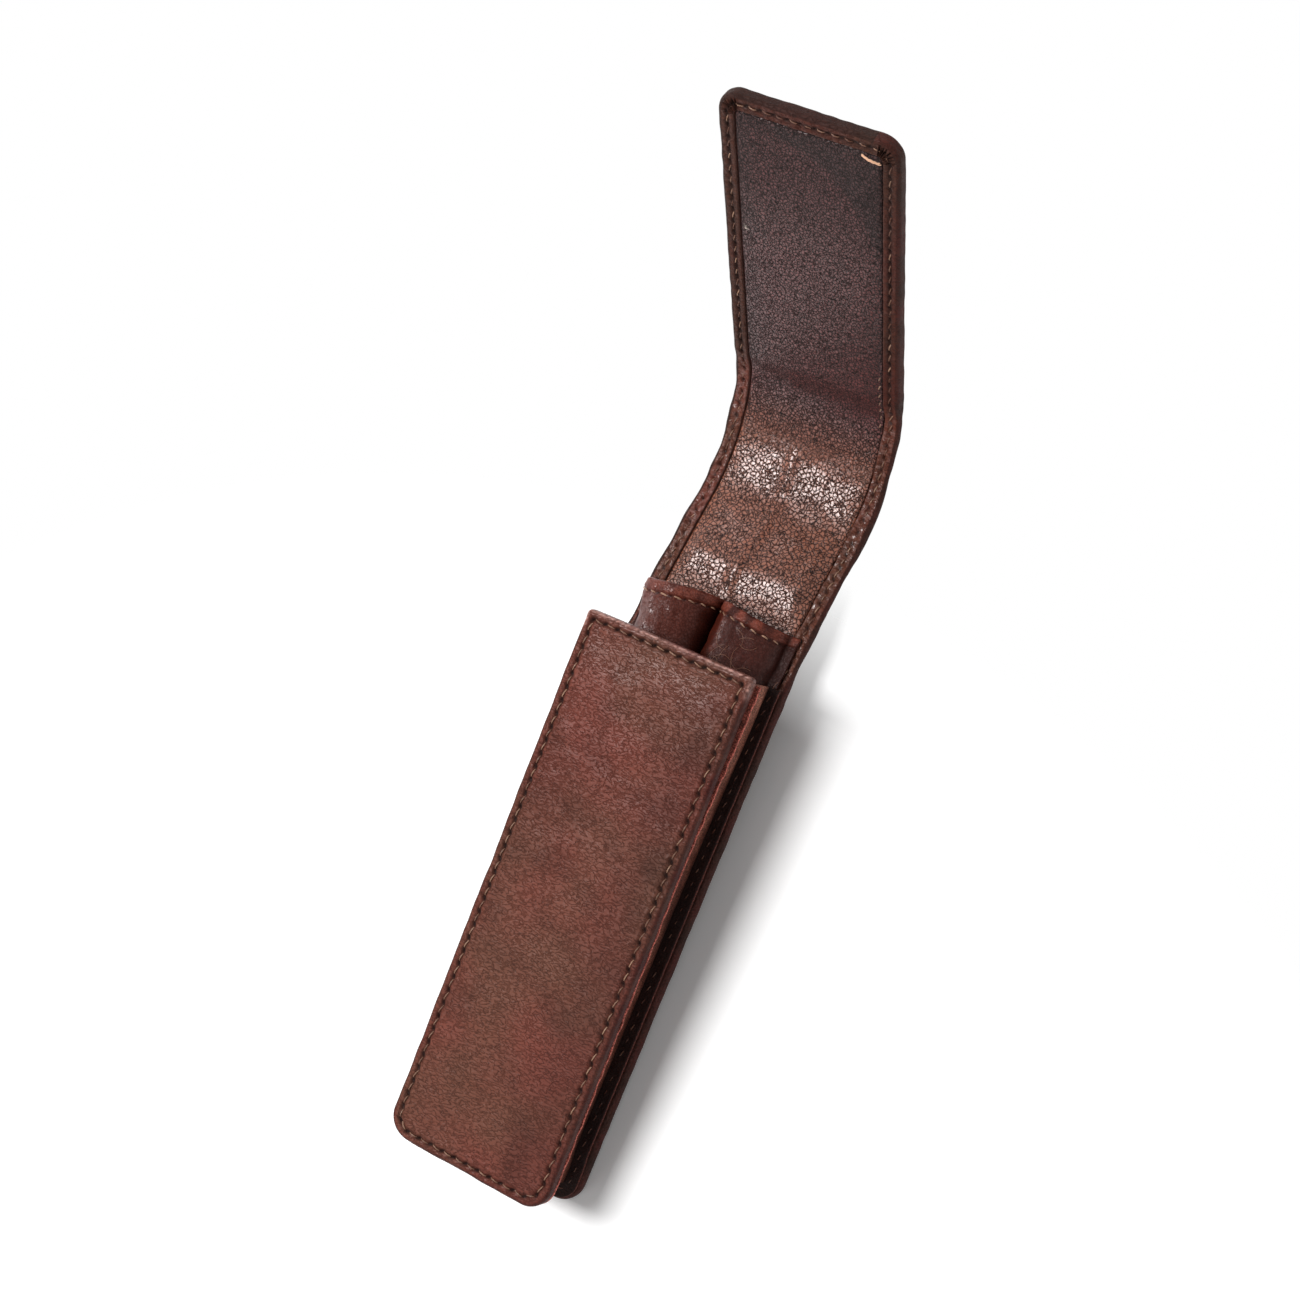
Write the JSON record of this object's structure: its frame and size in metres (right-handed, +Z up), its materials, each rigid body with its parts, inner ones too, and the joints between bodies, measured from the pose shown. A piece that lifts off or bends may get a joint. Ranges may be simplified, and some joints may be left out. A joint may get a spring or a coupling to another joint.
{
  "type": "double pen case",
  "caption": "Leather case for two pens: a gusseted pocket with two sewn sleeves inside, and a flap on a soft spine that folds over the front panel.",
  "frame": {"origin": "middle of the flat outer face of the back, which the case lies on", "axes": "+Y along the case from its bottom to its mouth and flap, +Z up through the pocket from the back to the front panel, +X to the right seen from the front"},
  "size_m": [0.0432, 0.2328, 0.0707],
  "materials": {
    "cover_leather": "waxed, fine grain, mottled reddish brown",
    "lining_leather": "matte, fine grain, dark brown",
    "gusset_leather": "thin supple leather, dark, with reddish cut edges",
    "sleeve_leather": "soft leather, satin where it is stretched",
    "stiffener_board": "bonded leather fibre board, hidden",
    "cut_edge": "raw cut edge, pinkish red",
    "thread": "brown twisted sewing thread"
  },
  "bodies": {
    "pocket": {"back_cover": "cover_leather", "back_board": "stiffener_board", "back_lining": "lining_leather", "front_cover": "cover_leather", "front_board": "stiffener_board", "front_lining": "lining_leather", "gusset_strip": "gusset_leather", "pen_sleeves": "sleeve_leather"},
    "spine": {"spine_cover": "cover_leather", "spine_lining": "lining_leather"},
    "flap": {"flap_cover": "cover_leather", "flap_board": "stiffener_board", "flap_lining": "lining_leather"}
  },
  "joints": [
    {"name": "back_fold", "type": "hinge", "parent": "pocket", "child": "spine", "pos_m": [0, 0.0851, -0.00362], "axis": [1, 0, 0], "range_deg": [-20, 73]},
    {"name": "flap_fold", "type": "hinge", "parent": "spine", "child": "flap", "pos_m": [0, 0.11419, -0.00659], "axis": [1, 0, 0], "range_deg": [-69.8, 56]}
  ]
}
